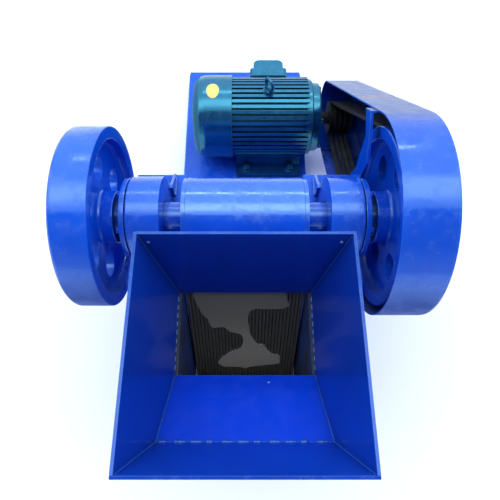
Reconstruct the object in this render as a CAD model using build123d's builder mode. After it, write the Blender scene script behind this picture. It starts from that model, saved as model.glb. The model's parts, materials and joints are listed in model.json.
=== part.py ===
"""Small single-toggle jaw crusher on a steel skid, with its electric motor.

Millimetres, +Z up, feed hopper towards -Y, motor towards +Y.
The origin is under the middle of the machine, on the ground.
"""
import os
from math import acos, atan2, cos, degrees, hypot, radians, sin

from build123d import *

os.makedirs("parts", exist_ok=True)

# ------------------------------------------------------------------ main lines
SHAFT_Z = 516.0            # eccentric shaft's height above the ground
SHAFT_Y = -182.1           # eccentric shaft's place along the skid
MOTOR_DY, MOTOR_DZ = 511.0, -336.0   # motor axis, from the shaft's axis

# ------------------------------------------------------------------ skid
RAIL_H, RAIL_B, RAIL_T = 40.0, 40.0, 5.0
RAIL_OUT = 200.0           # outer face of the rails
RAIL_FRONT, RAIL_REAR = -400.0, 818.0
PLATE_T = 8.0              # motor platform
PLATE_FRONT = 150.0
HOLE_R = 7.0               # foundation bolt holes
HOLE_X = 176.0
HOLE_FRONT, HOLE_REAR = -340.0, 760.0

# ------------------------------------------------------------------ frame
WALL_IN, WALL_OUT = 142.0, 162.0     # side walls, inner and outer faces
WALL_FRONT, WALL_REAR = -358.0, 136.0
WALL_TOP = -12.0           # in front, under the hopper
FRONT_TOP = -17.5
LEDGE_Z0, LEDGE_Z1 = -78.0, -62.0    # plates under the bearing housings
LEDGE_IN, LEDGE_OUT = 130.0, 240.0
LEDGE_FRONT = -120.0
FOOT_T = 12.0
BASE = RAIL_H - SHAFT_Z    # underside of the frame's feet
FRONT_T = 25.0
REAR_Y0, REAR_Y1 = 106.0, 131.0
RIB_T = 14.0

# ------------------------------------------------------------------ shaft line
SHAFT_R, WHEEL_SEAT_R = 30.0, 27.0
ECC_R, ECC_THROW, ECC_HALF = 36.0, 5.0, 104.0
RUN = 0.06                 # running clearance of a shaft in its bore
HOUSE_IN, HOUSE_OUT, HOUSE_R = 158.0, 221.0, 80.0
COVER_T, COVER_R = 12.0, 77.5
COVER_GAP, SPIGOT_R = 2.0, 72.0     # groove between a housing and its cover
WHEEL_R, WHEEL_IN, WHEEL_OUT = 176.0, 256.0, 324.0
RIM_T, WEB_X0, WEB_X1 = 24.0, 281.0, 299.0
HUB_R, HUB_IN = 52.0, 250.0
WEB_HOLES, WEB_HOLE_R, WEB_HOLE_PCR = 6, 27.0, 102.0

# ------------------------------------------------------------------ jaws
JAW_FACE = 111.6           # moving jaw's face, from the shaft's axis
JAW_ANGLE = 24.7           # its lean from upright
JAW_HALF = 116.0
JAW_TOP, JAW_END = 50.0, 414.0
JAW_BACK = 86.6
TOOTH_H = 4.0              # ribs of the jaw plates
BARREL_R, BARREL_HALF, BARREL_BORE = 78.0, 111.0, 47.0
FIXED_FACE, FIXED_BACK = -303.0, -333.0
FIXED_TOP, FIXED_END = -36.0, -345.0
CHEEK_IN = 122.0
CHEEK_TOP_FRONT, CHEEK_TOP_BACK = -34.5, -31.1  # just under the hopper's sloping lower edge

# ------------------------------------------------------------------ hopper
SHEET = 5.0
MOUTH_Z, MOUTH_BACK, MOUTH_FRONT = 177.0, -116.0, -449.0
FOLD_Y, FOLD_Z = -412.8, 42.0
THROAT_FRONT, THROAT_Z = -303.0, -29.0
BACK_END_Y, BACK_END_Z = -149.0, -26.0
FLARE, FLARE_X0, FLARE_Z0 = 0.1935, 124.5, -42.0   # side slope, half width at FLARE_Z0

# ------------------------------------------------------------------ motor
MOTOR_R, MOTOR_CORE, COWL_R = 118.0, 105.0, 122.5
MOTOR_X0, MOTOR_X1 = -38.0, 186.0
COWL_X0, SHIELD_X1 = -155.0, 233.0
FINS, FIN_T = 46, 9.0
MSHAFT_R, MSHAFT_END = 19.0, 317.0
MPULLEY_R = 48.5
FOOT_HOLE_X = (5.0, 145.0)

# ------------------------------------------------------------------ belts, guard
BELT_X, BELT_P, BELT_N = 290.0, 15.0, 4
BELT_TOP, BELT_BOT, BELT_H = 12.4, 7.0, 8.0
GROOVE_TOP, GROOVE_BOT, GROOVE_H = 13.3, 5.2, 12.0
GUARD_R, GUARD_NOSE, GUARD_T = 200.0, 108.0, 3.0
GUARD_X0, GUARD_X1 = 247.0, 339.0
GUARD_SET = 6.0          # how far the guard's big end sits behind the shaft


def square_to_shaft(x):
    """Plane across the shaft at x: local x rearward, local y upward, from its axis."""
    return Plane(origin=(x, SHAFT_Y, SHAFT_Z), x_dir=(0, 1, 0), z_dir=(1, 0, 0))


def square_to_skid(y):
    """Plane across the skid at y from the shaft: local x right, local y up from the shaft."""
    return Plane(origin=(0, SHAFT_Y + y, SHAFT_Z), x_dir=(1, 0, 0), z_dir=(0, -1, 0))


def level(z):
    """Level plane at z from the shaft: local x right, local y rearward from the shaft."""
    return Plane(origin=(0, SHAFT_Y, SHAFT_Z + z), x_dir=(1, 0, 0), z_dir=(0, 0, 1))


def belt_line(r_big, r_small, back=0.0):
    """Corner points where two straight runs leave the big and the small circle."""
    span = hypot(MOTOR_DY - back, MOTOR_DZ)
    lean = atan2(MOTOR_DZ, MOTOR_DY - back)
    turn = acos((r_big - r_small) / span)
    pts = []
    for side in (1, -1):
        a = lean + side * turn
        pts.append(((back + r_big * cos(a), r_big * sin(a)),
                    (MOTOR_DY + r_small * cos(a), MOTOR_DZ + r_small * sin(a))))
    return pts[0][0], pts[0][1], pts[1][1], pts[1][0]


def save(piece, name):
    piece.part.label = name
    export_step(piece.part, f"parts/{name}.step")


# local directions of the leaning jaw: face points forward and up, slope runs down
lean = radians(JAW_ANGLE)
FACE = (0.0, -cos(lean), sin(lean))
SLOPE = (0.0, -sin(lean), -cos(lean))


def along_jaw(x):
    """Plane across the shaft at x: local x towards the jaw's face, local y down its slope."""
    return Plane(origin=(x, SHAFT_Y, SHAFT_Z), x_dir=FACE, z_dir=(1, 0, 0))


# ================================================================== skid
with BuildPart() as skid_rails:
    for s in (-1, 1):
        with BuildSketch(square_to_skid(RAIL_REAR)):
            with BuildLine():
                o, i, t = RAIL_OUT * s, (RAIL_OUT - RAIL_B) * s, RAIL_T
                z0 = -SHAFT_Z
                Polyline((i, z0), (o, z0), (o, z0 + RAIL_H), (i, z0 + RAIL_H),
                         (i, z0 + RAIL_H - t), (o - t * s, z0 + RAIL_H - t),
                         (o - t * s, z0 + t), (i, z0 + t), close=True)
            make_face()
        extrude(amount=RAIL_REAR - RAIL_FRONT)
    with BuildSketch(level(-SHAFT_Z)):
        with Locations(*[(x, y) for x in (-HOLE_X, HOLE_X) for y in (HOLE_FRONT, HOLE_REAR)]):
            Circle(HOLE_R)
    extrude(amount=RAIL_T + 2, mode=Mode.SUBTRACT)
save(skid_rails, "skid_rails")

with BuildPart() as skid_cross_members:
    with BuildSketch(level(-SHAFT_Z)):
        with Locations((0, RAIL_FRONT + 22), (0, 158), (0, 480), (0, RAIL_REAR - 22)):
            Rectangle(2 * (RAIL_OUT - RAIL_B), 40)
    extrude(amount=RAIL_H)
save(skid_cross_members, "skid_cross_members")

with BuildPart() as motor_platform:
    with BuildSketch(level(BASE)):
        with Locations((0, (PLATE_FRONT + RAIL_REAR) / 2)):
            Rectangle(2 * RAIL_OUT - 3, RAIL_REAR - PLATE_FRONT)
    extrude(amount=PLATE_T)
save(motor_platform, "motor_platform")

# ================================================================== frame
for name, s in (("side_wall_left", -1), ("side_wall_right", 1)):
    x0 = min(s * WALL_IN, s * WALL_OUT)
    with BuildPart() as side_wall:
        with BuildSketch(square_to_shaft(x0)):
            with BuildLine():
                Polyline((WALL_FRONT, BASE), (WALL_FRONT, WALL_TOP), (LEDGE_FRONT, WALL_TOP),
                         (LEDGE_FRONT, LEDGE_Z0), (WALL_REAR, LEDGE_Z0), (WALL_REAR, BASE), close=True)
            make_face()
        extrude(amount=WALL_OUT - WALL_IN)
        with BuildSketch(level(BASE)):
            with Locations((s * (WALL_IN + RAIL_OUT) / 2, (WALL_FRONT + WALL_REAR) / 2)):
                Rectangle(RAIL_OUT - WALL_IN, WALL_REAR - WALL_FRONT)
        extrude(amount=FOOT_T)
    save(side_wall, name)

with BuildPart() as bearing_ledges:
    with BuildSketch(level(LEDGE_Z0)):
        with Locations(*[(s * (LEDGE_IN + LEDGE_OUT) / 2, (LEDGE_FRONT + WALL_REAR) / 2) for s in (-1, 1)]):
            Rectangle(LEDGE_OUT - LEDGE_IN, WALL_REAR - LEDGE_FRONT)
    extrude(amount=LEDGE_Z1 - LEDGE_Z0)
save(bearing_ledges, "bearing_ledges")

with BuildPart() as wall_ribs:
    for y in (-88.0, 96.0):
        for s in (-1, 1):
            with BuildSketch(square_to_skid(y + RIB_T / 2)):
                with BuildLine():
                    Polyline((s * WALL_OUT, LEDGE_Z0), (s * 236, LEDGE_Z0), (s * 236, LEDGE_Z0 - 26),
                             (s * 194, -250), (s * 194, BASE + FOOT_T), (s * WALL_OUT, BASE + FOOT_T), close=True)
                make_face()
            extrude(amount=RIB_T)
    for x in (-92.0, 0.0, 92.0):
        with BuildSketch(square_to_shaft(x - RIB_T / 2)):
            with BuildLine():
                y = WALL_FRONT
                Polyline((y, -66), (y - 14, -66), (y - 38, -150), (y - 38, -310), (y - 14, -462), (y, -462), close=True)
            make_face()
        extrude(amount=RIB_T)
save(wall_ribs, "wall_ribs")

with BuildPart() as pedestal_gussets:
    for s in (-1, 1):
        with BuildSketch(square_to_shaft(s * 156 - 3)):
            with BuildLine():
                Polyline((HOUSE_R, LEDGE_Z1), (HOUSE_R + 55, LEDGE_Z1), (HOUSE_R + 55, LEDGE_Z1 + 6),
                         (HOUSE_R + 8, LEDGE_Z1 + 40), (HOUSE_R, LEDGE_Z1 + 40), close=True)
            make_face()
        extrude(amount=6)
save(pedestal_gussets, "pedestal_gussets")

with BuildPart() as front_wall:
    with BuildSketch(square_to_skid(WALL_FRONT + FRONT_T)):
        with Locations((0, (FRONT_TOP + BASE + FOOT_T) / 2)):
            Rectangle(2 * WALL_IN, FRONT_TOP - BASE - FOOT_T)
    extrude(amount=FRONT_T)
save(front_wall, "front_wall")

ROD_Z, ROD_R = -440.0, 8.0
with BuildPart() as rear_wall:
    with BuildSketch(square_to_skid(REAR_Y1)):
        with Locations((0, (-205 + BASE + FOOT_T) / 2)):
            Rectangle(2 * WALL_IN, -205 - BASE - FOOT_T)
        with Locations((0, ROD_Z)):
            Circle(ROD_R + 1.0, mode=Mode.SUBTRACT)
    extrude(amount=REAR_Y1 - REAR_Y0)
save(rear_wall, "rear_wall")

# toggle plate between the jaw's lower back and the rear wall
TOGGLE_A, TOGGLE_B = (-178.0, -312.0), (50.0, -392.0)
TOGGLE_T, TOGGLE_HALF = 18.0, 100.0
toggle_len = hypot(TOGGLE_B[0] - TOGGLE_A[0], TOGGLE_B[1] - TOGGLE_A[1])
toggle_turn = degrees(atan2(TOGGLE_B[1] - TOGGLE_A[1], TOGGLE_B[0] - TOGGLE_A[0]))

with BuildPart() as toggle_seat:
    with BuildSketch(square_to_shaft(-110)):
        with BuildLine():
            Polyline((50, -412), (REAR_Y0, -412), (REAR_Y0, -340), (72, -340), (50, -366), close=True)
        make_face()
        with Locations(TOGGLE_B):
            Circle(TOGGLE_T / 2 + 1.0, mode=Mode.SUBTRACT)
    extrude(amount=220)
save(toggle_seat, "toggle_seat")

with BuildPart() as toggle_plate:
    with BuildSketch(square_to_shaft(-TOGGLE_HALF)):
        with Locations(((TOGGLE_A[0] + TOGGLE_B[0]) / 2, (TOGGLE_A[1] + TOGGLE_B[1]) / 2)):
            SlotCenterToCenter(toggle_len, TOGGLE_T, rotation=toggle_turn)
    extrude(amount=2 * TOGGLE_HALF)
save(toggle_plate, "toggle_plate")

SPRING_END = 196.0
with BuildPart() as tension_rod:
    with BuildSketch(square_to_skid(224)):
        with Locations((0, ROD_Z)):
            Circle(ROD_R)
    extrude(amount=224 + 258)
    with BuildSketch(square_to_skid(SPRING_END + 6)):
        with Locations((0, ROD_Z)):
            Circle(23)
    extrude(amount=6)
    with BuildSketch(square_to_skid(SPRING_END + 20)):
        with Locations((0, ROD_Z)):
            RegularPolygon(15, 6)
    extrude(amount=14)
    with BuildSketch(square_to_skid(-240)):
        with Locations((0, ROD_Z)):
            RegularPolygon(15, 6)
    extrude(amount=14)
save(tension_rod, "tension_rod")

with BuildPart() as tension_spring:
    with BuildSketch(square_to_skid(SPRING_END)):
        with Locations((0, ROD_Z)):
            Circle(21)
            Circle(13, mode=Mode.SUBTRACT)
    extrude(amount=SPRING_END - REAR_Y1)
save(tension_spring, "tension_spring")

# ================================================================== bearings
for name, s in (("bearing_housing_left", -1), ("bearing_housing_right", 1)):
    x0 = min(s * HOUSE_IN, s * HOUSE_OUT)
    with BuildPart() as housing:
        with BuildSketch(square_to_shaft(x0)):
            Circle(HOUSE_R)
            with Locations((0, LEDGE_Z1 / 2)):
                Rectangle(2 * HOUSE_R, -LEDGE_Z1)
            with BuildLine():
                Polyline((-HOUSE_R, LEDGE_Z1), (HOUSE_R, LEDGE_Z1), (HOUSE_R, 0), (-HOUSE_R, 0), close=True)
            make_face()
        extrude(amount=HOUSE_OUT - HOUSE_IN)
        split(bisect_by=level(LEDGE_Z1), keep=Keep.TOP)
        with BuildSketch(square_to_shaft(x0)):
            Circle(SHAFT_R + RUN)
        extrude(amount=HOUSE_OUT - HOUSE_IN, mode=Mode.SUBTRACT)
    save(housing, name)

with BuildPart() as bearing_covers:
    for s in (-1, 1):
        for x0, x1, r in ((HOUSE_OUT, HOUSE_OUT + COVER_GAP, SPIGOT_R), (HOUSE_OUT + COVER_GAP, HOUSE_OUT + COVER_T, COVER_R)):
            with BuildSketch(square_to_shaft(min(s * x0, s * x1))):
                Circle(r)
                Circle(SHAFT_R + 2.5, mode=Mode.SUBTRACT)
            extrude(amount=x1 - x0)
    split(bisect_by=level(LEDGE_Z1), keep=Keep.TOP)
save(bearing_covers, "bearing_covers")

# ================================================================== crushing chamber
def teeth(half, base, tip, count):
    """Saw-tooth outline of a jaw plate: back at 0, valleys at base, tips at tip."""
    pitch = 2 * half / count
    pts = [(-half, 0), (half, 0)]
    x = half
    for k in range(count):
        pts += [(x, base), (x - 0.22 * pitch, tip), (x - 0.78 * pitch, tip)]
        x -= pitch
    pts.append((-half, base))
    return pts


JAW_T = JAW_FACE - JAW_BACK
with BuildPart() as fixed_jaw_plate:
    with BuildSketch(Plane(origin=(0, SHAFT_Y + FIXED_BACK, SHAFT_Z + FIXED_END), x_dir=(1, 0, 0), z_dir=(0, 0, 1))):
        with BuildLine():
            Polyline(*teeth(CHEEK_IN - 0.5, FIXED_FACE - FIXED_BACK - TOOTH_H, FIXED_FACE - FIXED_BACK, 33), close=True)
        make_face()
    extrude(amount=FIXED_TOP - FIXED_END)
save(fixed_jaw_plate, "fixed_jaw_plate")

with BuildPart() as cheek_plates:
    for s in (-1, 1):
        with BuildSketch(square_to_shaft(min(s * CHEEK_IN, s * WALL_IN))):
            with BuildLine():
                Polyline((FIXED_FACE, CHEEK_TOP_FRONT), (-128, CHEEK_TOP_BACK), (-232, FIXED_END), (FIXED_FACE, FIXED_END), close=True)
            make_face()
        extrude(amount=WALL_IN - CHEEK_IN)
save(cheek_plates, "cheek_plates")

with BuildPart() as moving_jaw_plate:
    top = (0, SHAFT_Y + FACE[1] * JAW_BACK + SLOPE[1] * JAW_TOP, SHAFT_Z + FACE[2] * JAW_BACK + SLOPE[2] * JAW_TOP)
    with BuildSketch(Plane(origin=top, x_dir=(1, 0, 0), z_dir=SLOPE)):
        with BuildLine():
            Polyline(*teeth(JAW_HALF, JAW_T - TOOTH_H, JAW_T, 32), close=True)
        make_face()
    extrude(amount=JAW_END - JAW_TOP)
save(moving_jaw_plate, "moving_jaw_plate")

with BuildPart() as jaw_wedge:
    with BuildSketch(along_jaw(-108)):
        with BuildLine():
            Polyline((JAW_BACK, 20), (JAW_BACK + 13, 20), (JAW_BACK + 20, JAW_TOP), (JAW_BACK, JAW_TOP), close=True)
        make_face()
    extrude(amount=216)
save(jaw_wedge, "jaw_wedge")

# toggle end and rod hole, in the leaning jaw's own directions
a_n = TOGGLE_A[0] * FACE[1] + TOGGLE_A[1] * FACE[2]
a_s = TOGGLE_A[0] * SLOPE[1] + TOGGLE_A[1] * SLOPE[2]
with BuildPart() as pitman:
    with BuildSketch(square_to_shaft(-BARREL_HALF)):
        Circle(BARREL_R)
    extrude(amount=2 * BARREL_HALF)
    with BuildSketch(along_jaw(-BARREL_HALF)):
        with BuildLine():
            Polyline((40, 0), (JAW_BACK, 0), (JAW_BACK, JAW_END), (58, JAW_END), (58, 60), (40, 60), close=True)
        make_face()
    extrude(amount=2 * BARREL_HALF)
    for x in (-94.0, 0.0, 94.0):
        with BuildSketch(along_jaw(x - 8)):
            with BuildLine():
                Polyline((60, 20), (-45, 30), (-52, 90), (34, 322), (60, 322), close=True)
            make_face()
        extrude(amount=16)
    with BuildSketch(along_jaw(-104)):
        with BuildLine():
            Polyline((a_n, a_s - 30), (60, a_s - 40), (60, a_s + 40), (a_n, a_s + 30), close=True)
        make_face()
        with Locations((a_n, a_s)):
            Circle(TOGGLE_T / 2 + 1.8, mode=Mode.SUBTRACT)
    extrude(amount=208)
    with BuildSketch(square_to_shaft(-30)):
        with BuildLine():
            Polyline((-216, -328), (-196, -328), (-192, -466), (-218, -466), close=True)
        make_face()
    extrude(amount=60)
    with BuildSketch(square_to_skid(-150)):
        with Locations((0, ROD_Z - 3.2)):
            Circle(17)
    extrude(amount=100, mode=Mode.SUBTRACT)
    with BuildSketch(square_to_shaft(-BARREL_HALF)):
        Circle(BARREL_BORE)
    extrude(amount=2 * BARREL_HALF, mode=Mode.SUBTRACT)
save(pitman, "pitman")

with BuildPart() as pitman_end_rings:
    for s in (-1, 1):
        with BuildSketch(square_to_shaft(min(s * BARREL_HALF, s * (BARREL_HALF + 8)))):
            Circle(BARREL_R - 1.5)
            Circle(38, mode=Mode.SUBTRACT)
        extrude(amount=8)
save(pitman_end_rings, "pitman_end_rings")

# ================================================================== shaft and wheels
LEFT_END, RIGHT_END = -339.0, 320.0
with BuildPart() as eccentric_shaft:
    with BuildSketch(square_to_shaft(LEFT_END)):
        Circle(WHEEL_SEAT_R)
    extrude(amount=RIGHT_END - LEFT_END)
    with BuildSketch(square_to_shaft(-HUB_IN)):
        Circle(SHAFT_R)
    extrude(amount=2 * HUB_IN)
    with BuildSketch(square_to_shaft(-ECC_HALF)):
        with Locations((-ECC_THROW, 0)):
            Circle(ECC_R)
    extrude(amount=2 * ECC_HALF)
save(eccentric_shaft, "eccentric_shaft")


def wheel_profile(s, hub_out, grooves):
    """Half section of a wheel, (distance along the shaft, radius)."""
    pts = [(HUB_IN, WHEEL_SEAT_R), (HUB_IN, HUB_R - 3), (HUB_IN + 3, HUB_R), (WEB_X0, HUB_R + 4), (WEB_X0, WHEEL_R - RIM_T - 4),
           (WHEEL_IN, WHEEL_R - RIM_T), (WHEEL_IN, WHEEL_R - 2), (WHEEL_IN + 2, WHEEL_R)]
    if grooves:
        for k in range(BELT_N):
            c = BELT_X + (k - (BELT_N - 1) / 2) * BELT_P
            pts += [(c - GROOVE_TOP / 2, WHEEL_R), (c - GROOVE_BOT / 2, WHEEL_R - GROOVE_H),
                    (c + GROOVE_BOT / 2, WHEEL_R - GROOVE_H), (c + GROOVE_TOP / 2, WHEEL_R)]
    pts += [(WHEEL_OUT - 2, WHEEL_R), (WHEEL_OUT, WHEEL_R - 2), (WHEEL_OUT, WHEEL_R - RIM_T), (WEB_X1, WHEEL_R - RIM_T - 4),
            (WEB_X1, HUB_R + 4), (hub_out - 3, HUB_R), (hub_out, HUB_R - 3), (hub_out, WHEEL_SEAT_R)]
    return [(s * x, r) for x, r in pts]


for name, s, hub_out, grooves, phase in (("flywheel", -1, 316.0, False, 45.0), ("drive_pulley", 1, 312.0, True, 10.0)):
    with BuildPart() as wheel:
        with BuildSketch(Plane(origin=(0, SHAFT_Y, SHAFT_Z), x_dir=(1, 0, 0), z_dir=(0, -1, 0))):
            with BuildLine():
                Polyline(*wheel_profile(s, hub_out, grooves), close=True)
            make_face()
        revolve(axis=Axis((0, SHAFT_Y, SHAFT_Z), (1, 0, 0)))
        with BuildSketch(square_to_shaft(min(s * 240, s * 340))):
            with PolarLocations(WEB_HOLE_PCR, WEB_HOLES, start_angle=phase):
                Circle(WEB_HOLE_R)
        extrude(amount=100, mode=Mode.SUBTRACT)
    save(wheel, name)

with BuildPart() as shaft_locknuts:
    with BuildSketch(square_to_shaft(-331)):
        RegularPolygon(40, 6)
    extrude(amount=15)
    with BuildSketch(square_to_shaft(-331)):
        Circle(WHEEL_SEAT_R)
    extrude(amount=15, mode=Mode.SUBTRACT)
    with BuildSketch(square_to_shaft(312)):
        RegularPolygon(40, 6)
        Circle(WHEEL_SEAT_R, mode=Mode.SUBTRACT)
    extrude(amount=10)
save(shaft_locknuts, "shaft_locknuts")

# ================================================================== hopper
def half_width(z):
    return FLARE_X0 + FLARE * (z - FLARE_Z0)


slant = hypot(1, FLARE)
for name, s in (("hopper_left", -1), ("hopper_right", 1)):
    with BuildPart() as hopper_side:
        with BuildSketch(Plane(origin=(s * FLARE_X0, SHAFT_Y, SHAFT_Z + FLARE_Z0),
                               x_dir=(0, s, 0), z_dir=(s / slant, 0, -FLARE / slant))):
            with BuildLine():
                pts = [(MOUTH_BACK, MOUTH_Z), (MOUTH_FRONT, MOUTH_Z), (FOLD_Y, FOLD_Z),
                       (THROAT_FRONT, THROAT_Z), (BACK_END_Y, BACK_END_Z)]
                Polyline(*[(s * y, (z - FLARE_Z0) * slant) for y, z in pts], close=True)
            make_face()
        extrude(amount=SHEET * slant, dir=(s, 0, 0))
    save(hopper_side, name)


def hopper_sheet(top, low, name, outward):
    """Flat sheet across the hopper between two level lines (y, z), thick to the outside."""
    dy, dz = top[0] - low[0], top[1] - low[1]
    run = hypot(dy, dz)
    up = (0, dy / run, dz / run)
    right = (outward, 0, 0)
    normal = (0, right[0] * -up[2] * 1.0, right[0] * up[1])
    w0, w1 = half_width(low[1]) + SHEET, half_width(top[1]) + SHEET
    with BuildPart() as sheet:
        with BuildSketch(Plane(origin=(0, SHAFT_Y + low[0], SHAFT_Z + low[1]), x_dir=right, z_dir=normal)):
            with BuildLine():
                Polyline((-w0, 0), (w0, 0), (w1, run), (-w1, run), close=True)
            make_face()
        extrude(amount=SHEET)
    save(sheet, name)


hopper_sheet((MOUTH_FRONT, MOUTH_Z), (FOLD_Y, FOLD_Z), "hopper_front", 1)
hopper_sheet((FOLD_Y, FOLD_Z), (THROAT_FRONT, THROAT_Z), "hopper_floor", 1)
hopper_sheet((MOUTH_BACK, MOUTH_Z), (BACK_END_Y, BACK_END_Z), "hopper_back", -1)

# ================================================================== motor
FEET_Z = BASE + PLATE_T    # the platform's top, under the motor's feet
BOX_Y, BOX_X0, BOX_X1, BOX_Z0, BOX_Z1 = 634.0, 16.0, 131.0, -392.0, -288.0
EYE_X, EYE_Z = 69.0, MOTOR_DZ + MOTOR_R + 2
with BuildPart() as motor_frame:
    with BuildSketch(square_to_shaft(MOTOR_X0)):
        with Locations((MOTOR_DY, MOTOR_DZ)):
            Circle(MOTOR_CORE)
            with PolarLocations((MOTOR_CORE + MOTOR_R) / 2 - 2, FINS, start_angle=360 / FINS / 2):
                Rectangle(MOTOR_R - MOTOR_CORE + 4, FIN_T)
    extrude(amount=MOTOR_X1 - MOTOR_X0)
    with BuildSketch(square_to_shaft(MOTOR_X1 - 6)):
        with Locations((MOTOR_DY, MOTOR_DZ)):
            Circle(MOTOR_R - 5)
            Circle(MOTOR_CORE - 3, mode=Mode.SUBTRACT)
    extrude(amount=6)
    with BuildSketch(square_to_shaft(BOX_X0 + 6)):
        with Locations((590, (BOX_Z0 + BOX_Z1) / 2)):
            Rectangle(2 * (BOX_Y - 590), BOX_Z1 - BOX_Z0 - 12)
    extrude(amount=BOX_X1 - BOX_X0 - 12)
    with BuildSketch(level(MOTOR_DZ + 100)):
        with Locations((EYE_X, MOTOR_DY)):
            Circle(17)
    extrude(until=None, amount=MOTOR_R - 98)
    split(bisect_by=level(FEET_Z + 6), keep=Keep.TOP)
    for side in (-1, 1):
        with BuildSketch(square_to_shaft(FOOT_HOLE_X[0] - 32)):
            with BuildLine():
                y = MOTOR_DY
                Polyline((y + side * 134, FEET_Z), (y + side * 70, FEET_Z), (y + side * 56, FEET_Z + 24),
                         (y + side * 56, MOTOR_DZ - 66), (y + side * 82, MOTOR_DZ - 62), (y + side * 86, FEET_Z + 30),
                         (y + side * 93, FEET_Z + 15), (y + side * 134, FEET_Z + 15), close=True)
            make_face()
        extrude(amount=FOOT_HOLE_X[1] - FOOT_HOLE_X[0] + 64)
save(motor_frame, "motor_frame")

with BuildPart() as motor_fan_cowl:
    with BuildSketch(Plane(origin=(0, SHAFT_Y + MOTOR_DY, SHAFT_Z + MOTOR_DZ), x_dir=(1, 0, 0), z_dir=(0, -1, 0))):
        with BuildLine():
            r = COWL_R
            Polyline((MOTOR_X0, 0), (MOTOR_X0, r), (COWL_X0 + 36, r), (COWL_X0 + 21, r - 4), (COWL_X0 + 9, r - 13),
                     (COWL_X0 + 2, r - 25), (COWL_X0, r - 36), (COWL_X0, 0), close=True)
        make_face()
    revolve(axis=Axis((0, SHAFT_Y + MOTOR_DY, SHAFT_Z + MOTOR_DZ), (1, 0, 0)))
save(motor_fan_cowl, "motor_fan_cowl")

with BuildPart() as motor_end_shield:
    with BuildSketch(Plane(origin=(0, SHAFT_Y + MOTOR_DY, SHAFT_Z + MOTOR_DZ), x_dir=(1, 0, 0), z_dir=(0, -1, 0))):
        with BuildLine():
            b = MSHAFT_R + RUN
            Polyline((MOTOR_X1, b), (MOTOR_X1, 112), (MOTOR_X1 + 10, 112), (MOTOR_X1 + 13, 109), (MOTOR_X1 + 13, 103),
                     (MOTOR_X1 + 33, 101), (MOTOR_X1 + 38, 96), (MOTOR_X1 + 38, 52), (SHIELD_X1, 48), (SHIELD_X1, b), close=True)
        make_face()
    revolve(axis=Axis((0, SHAFT_Y + MOTOR_DY, SHAFT_Z + MOTOR_DZ), (1, 0, 0)))
save(motor_end_shield, "motor_end_shield")

with BuildPart() as motor_terminal_box:
    with BuildSketch(Plane(origin=(0, SHAFT_Y + BOX_Y, SHAFT_Z), x_dir=(-1, 0, 0), z_dir=(0, 1, 0))):
        with Locations((-(BOX_X0 + BOX_X1) / 2, (BOX_Z0 + BOX_Z1) / 2)):
            RectangleRounded(BOX_X1 - BOX_X0, BOX_Z1 - BOX_Z0, 10)
    extrude(amount=30)
    with BuildSketch(level(BOX_Z0 + 6)) as lid:
        with Locations(((BOX_X0 + BOX_X1) / 2, BOX_Y + 49)):
            Rectangle(BOX_X1 - BOX_X0 - 22, 38)
        fillet(lid.vertices().group_by(Axis.Y)[-1], 18)
    extrude(amount=BOX_Z1 - BOX_Z0 - 12)
save(motor_terminal_box, "motor_terminal_box")

with BuildPart() as motor_lifting_eye:
    with BuildSketch(level(EYE_Z)):
        with Locations((EYE_X, MOTOR_DY)):
            Circle(15)
    extrude(amount=6)
    turn = radians(32)         # the eye is screwed home a little turned
    with BuildSketch(Plane(origin=(EYE_X, SHAFT_Y + MOTOR_DY, SHAFT_Z + EYE_Z + 24), x_dir=(cos(turn), sin(turn), 0), z_dir=(sin(turn), -cos(turn), 0))):
        with Locations((0, 16.5)):
            Circle(4.8)
    revolve(axis=Axis((EYE_X, SHAFT_Y + MOTOR_DY, SHAFT_Z + EYE_Z + 24), (cos(turn), sin(turn), 0)))
save(motor_lifting_eye, "motor_lifting_eye")

with BuildPart() as motor_shaft:
    with BuildSketch(square_to_shaft(MOTOR_X1 + 1)):
        with Locations((MOTOR_DY, MOTOR_DZ)):
            Circle(MSHAFT_R)
    extrude(amount=MSHAFT_END - MOTOR_X1 - 1)
save(motor_shaft, "motor_shaft")

with BuildPart() as motor_pulley:
    with BuildSketch(Plane(origin=(0, SHAFT_Y + MOTOR_DY, SHAFT_Z + MOTOR_DZ), x_dir=(1, 0, 0), z_dir=(0, -1, 0))):
        with BuildLine():
            x0, x1 = BELT_X - 32.5, BELT_X + 32.5
            pts = [(x0, MSHAFT_R), (x0, MPULLEY_R)]
            for k in range(BELT_N):
                c = BELT_X + (k - (BELT_N - 1) / 2) * BELT_P
                pts += [(c - GROOVE_TOP / 2, MPULLEY_R), (c - GROOVE_BOT / 2, MPULLEY_R - GROOVE_H),
                        (c + GROOVE_BOT / 2, MPULLEY_R - GROOVE_H), (c + GROOVE_TOP / 2, MPULLEY_R)]
            pts += [(x1, MPULLEY_R), (x1, MSHAFT_R)]
            Polyline(*pts, close=True)
        make_face()
    revolve(axis=Axis((0, SHAFT_Y + MOTOR_DY, SHAFT_Z + MOTOR_DZ), (1, 0, 0)))
save(motor_pulley, "motor_pulley")

# ================================================================== belts
def belt_loop(r_big, r_small, back=0.0):
    """Closed line round both pulleys: two straight runs and two arcs."""
    p0, p1, p2, p3 = belt_line(r_big, r_small, back)
    lean_deg = degrees(atan2(MOTOR_DZ, MOTOR_DY - back))
    Line(p0, p1)
    far = (MOTOR_DY + r_small * cos(radians(lean_deg)), MOTOR_DZ + r_small * sin(radians(lean_deg)))
    ThreePointArc(p1, far, p2)
    Line(p2, p3)
    near = (back - r_big * cos(radians(lean_deg)), -r_big * sin(radians(lean_deg)))
    ThreePointArc(p3, near, p0)


run_turn = acos((WHEEL_R - MPULLEY_R) / hypot(MOTOR_DY, MOTOR_DZ))
run_lean = atan2(MOTOR_DZ, MOTOR_DY)
run_len = hypot(MOTOR_DY, MOTOR_DZ) * sin(run_turn)


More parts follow.
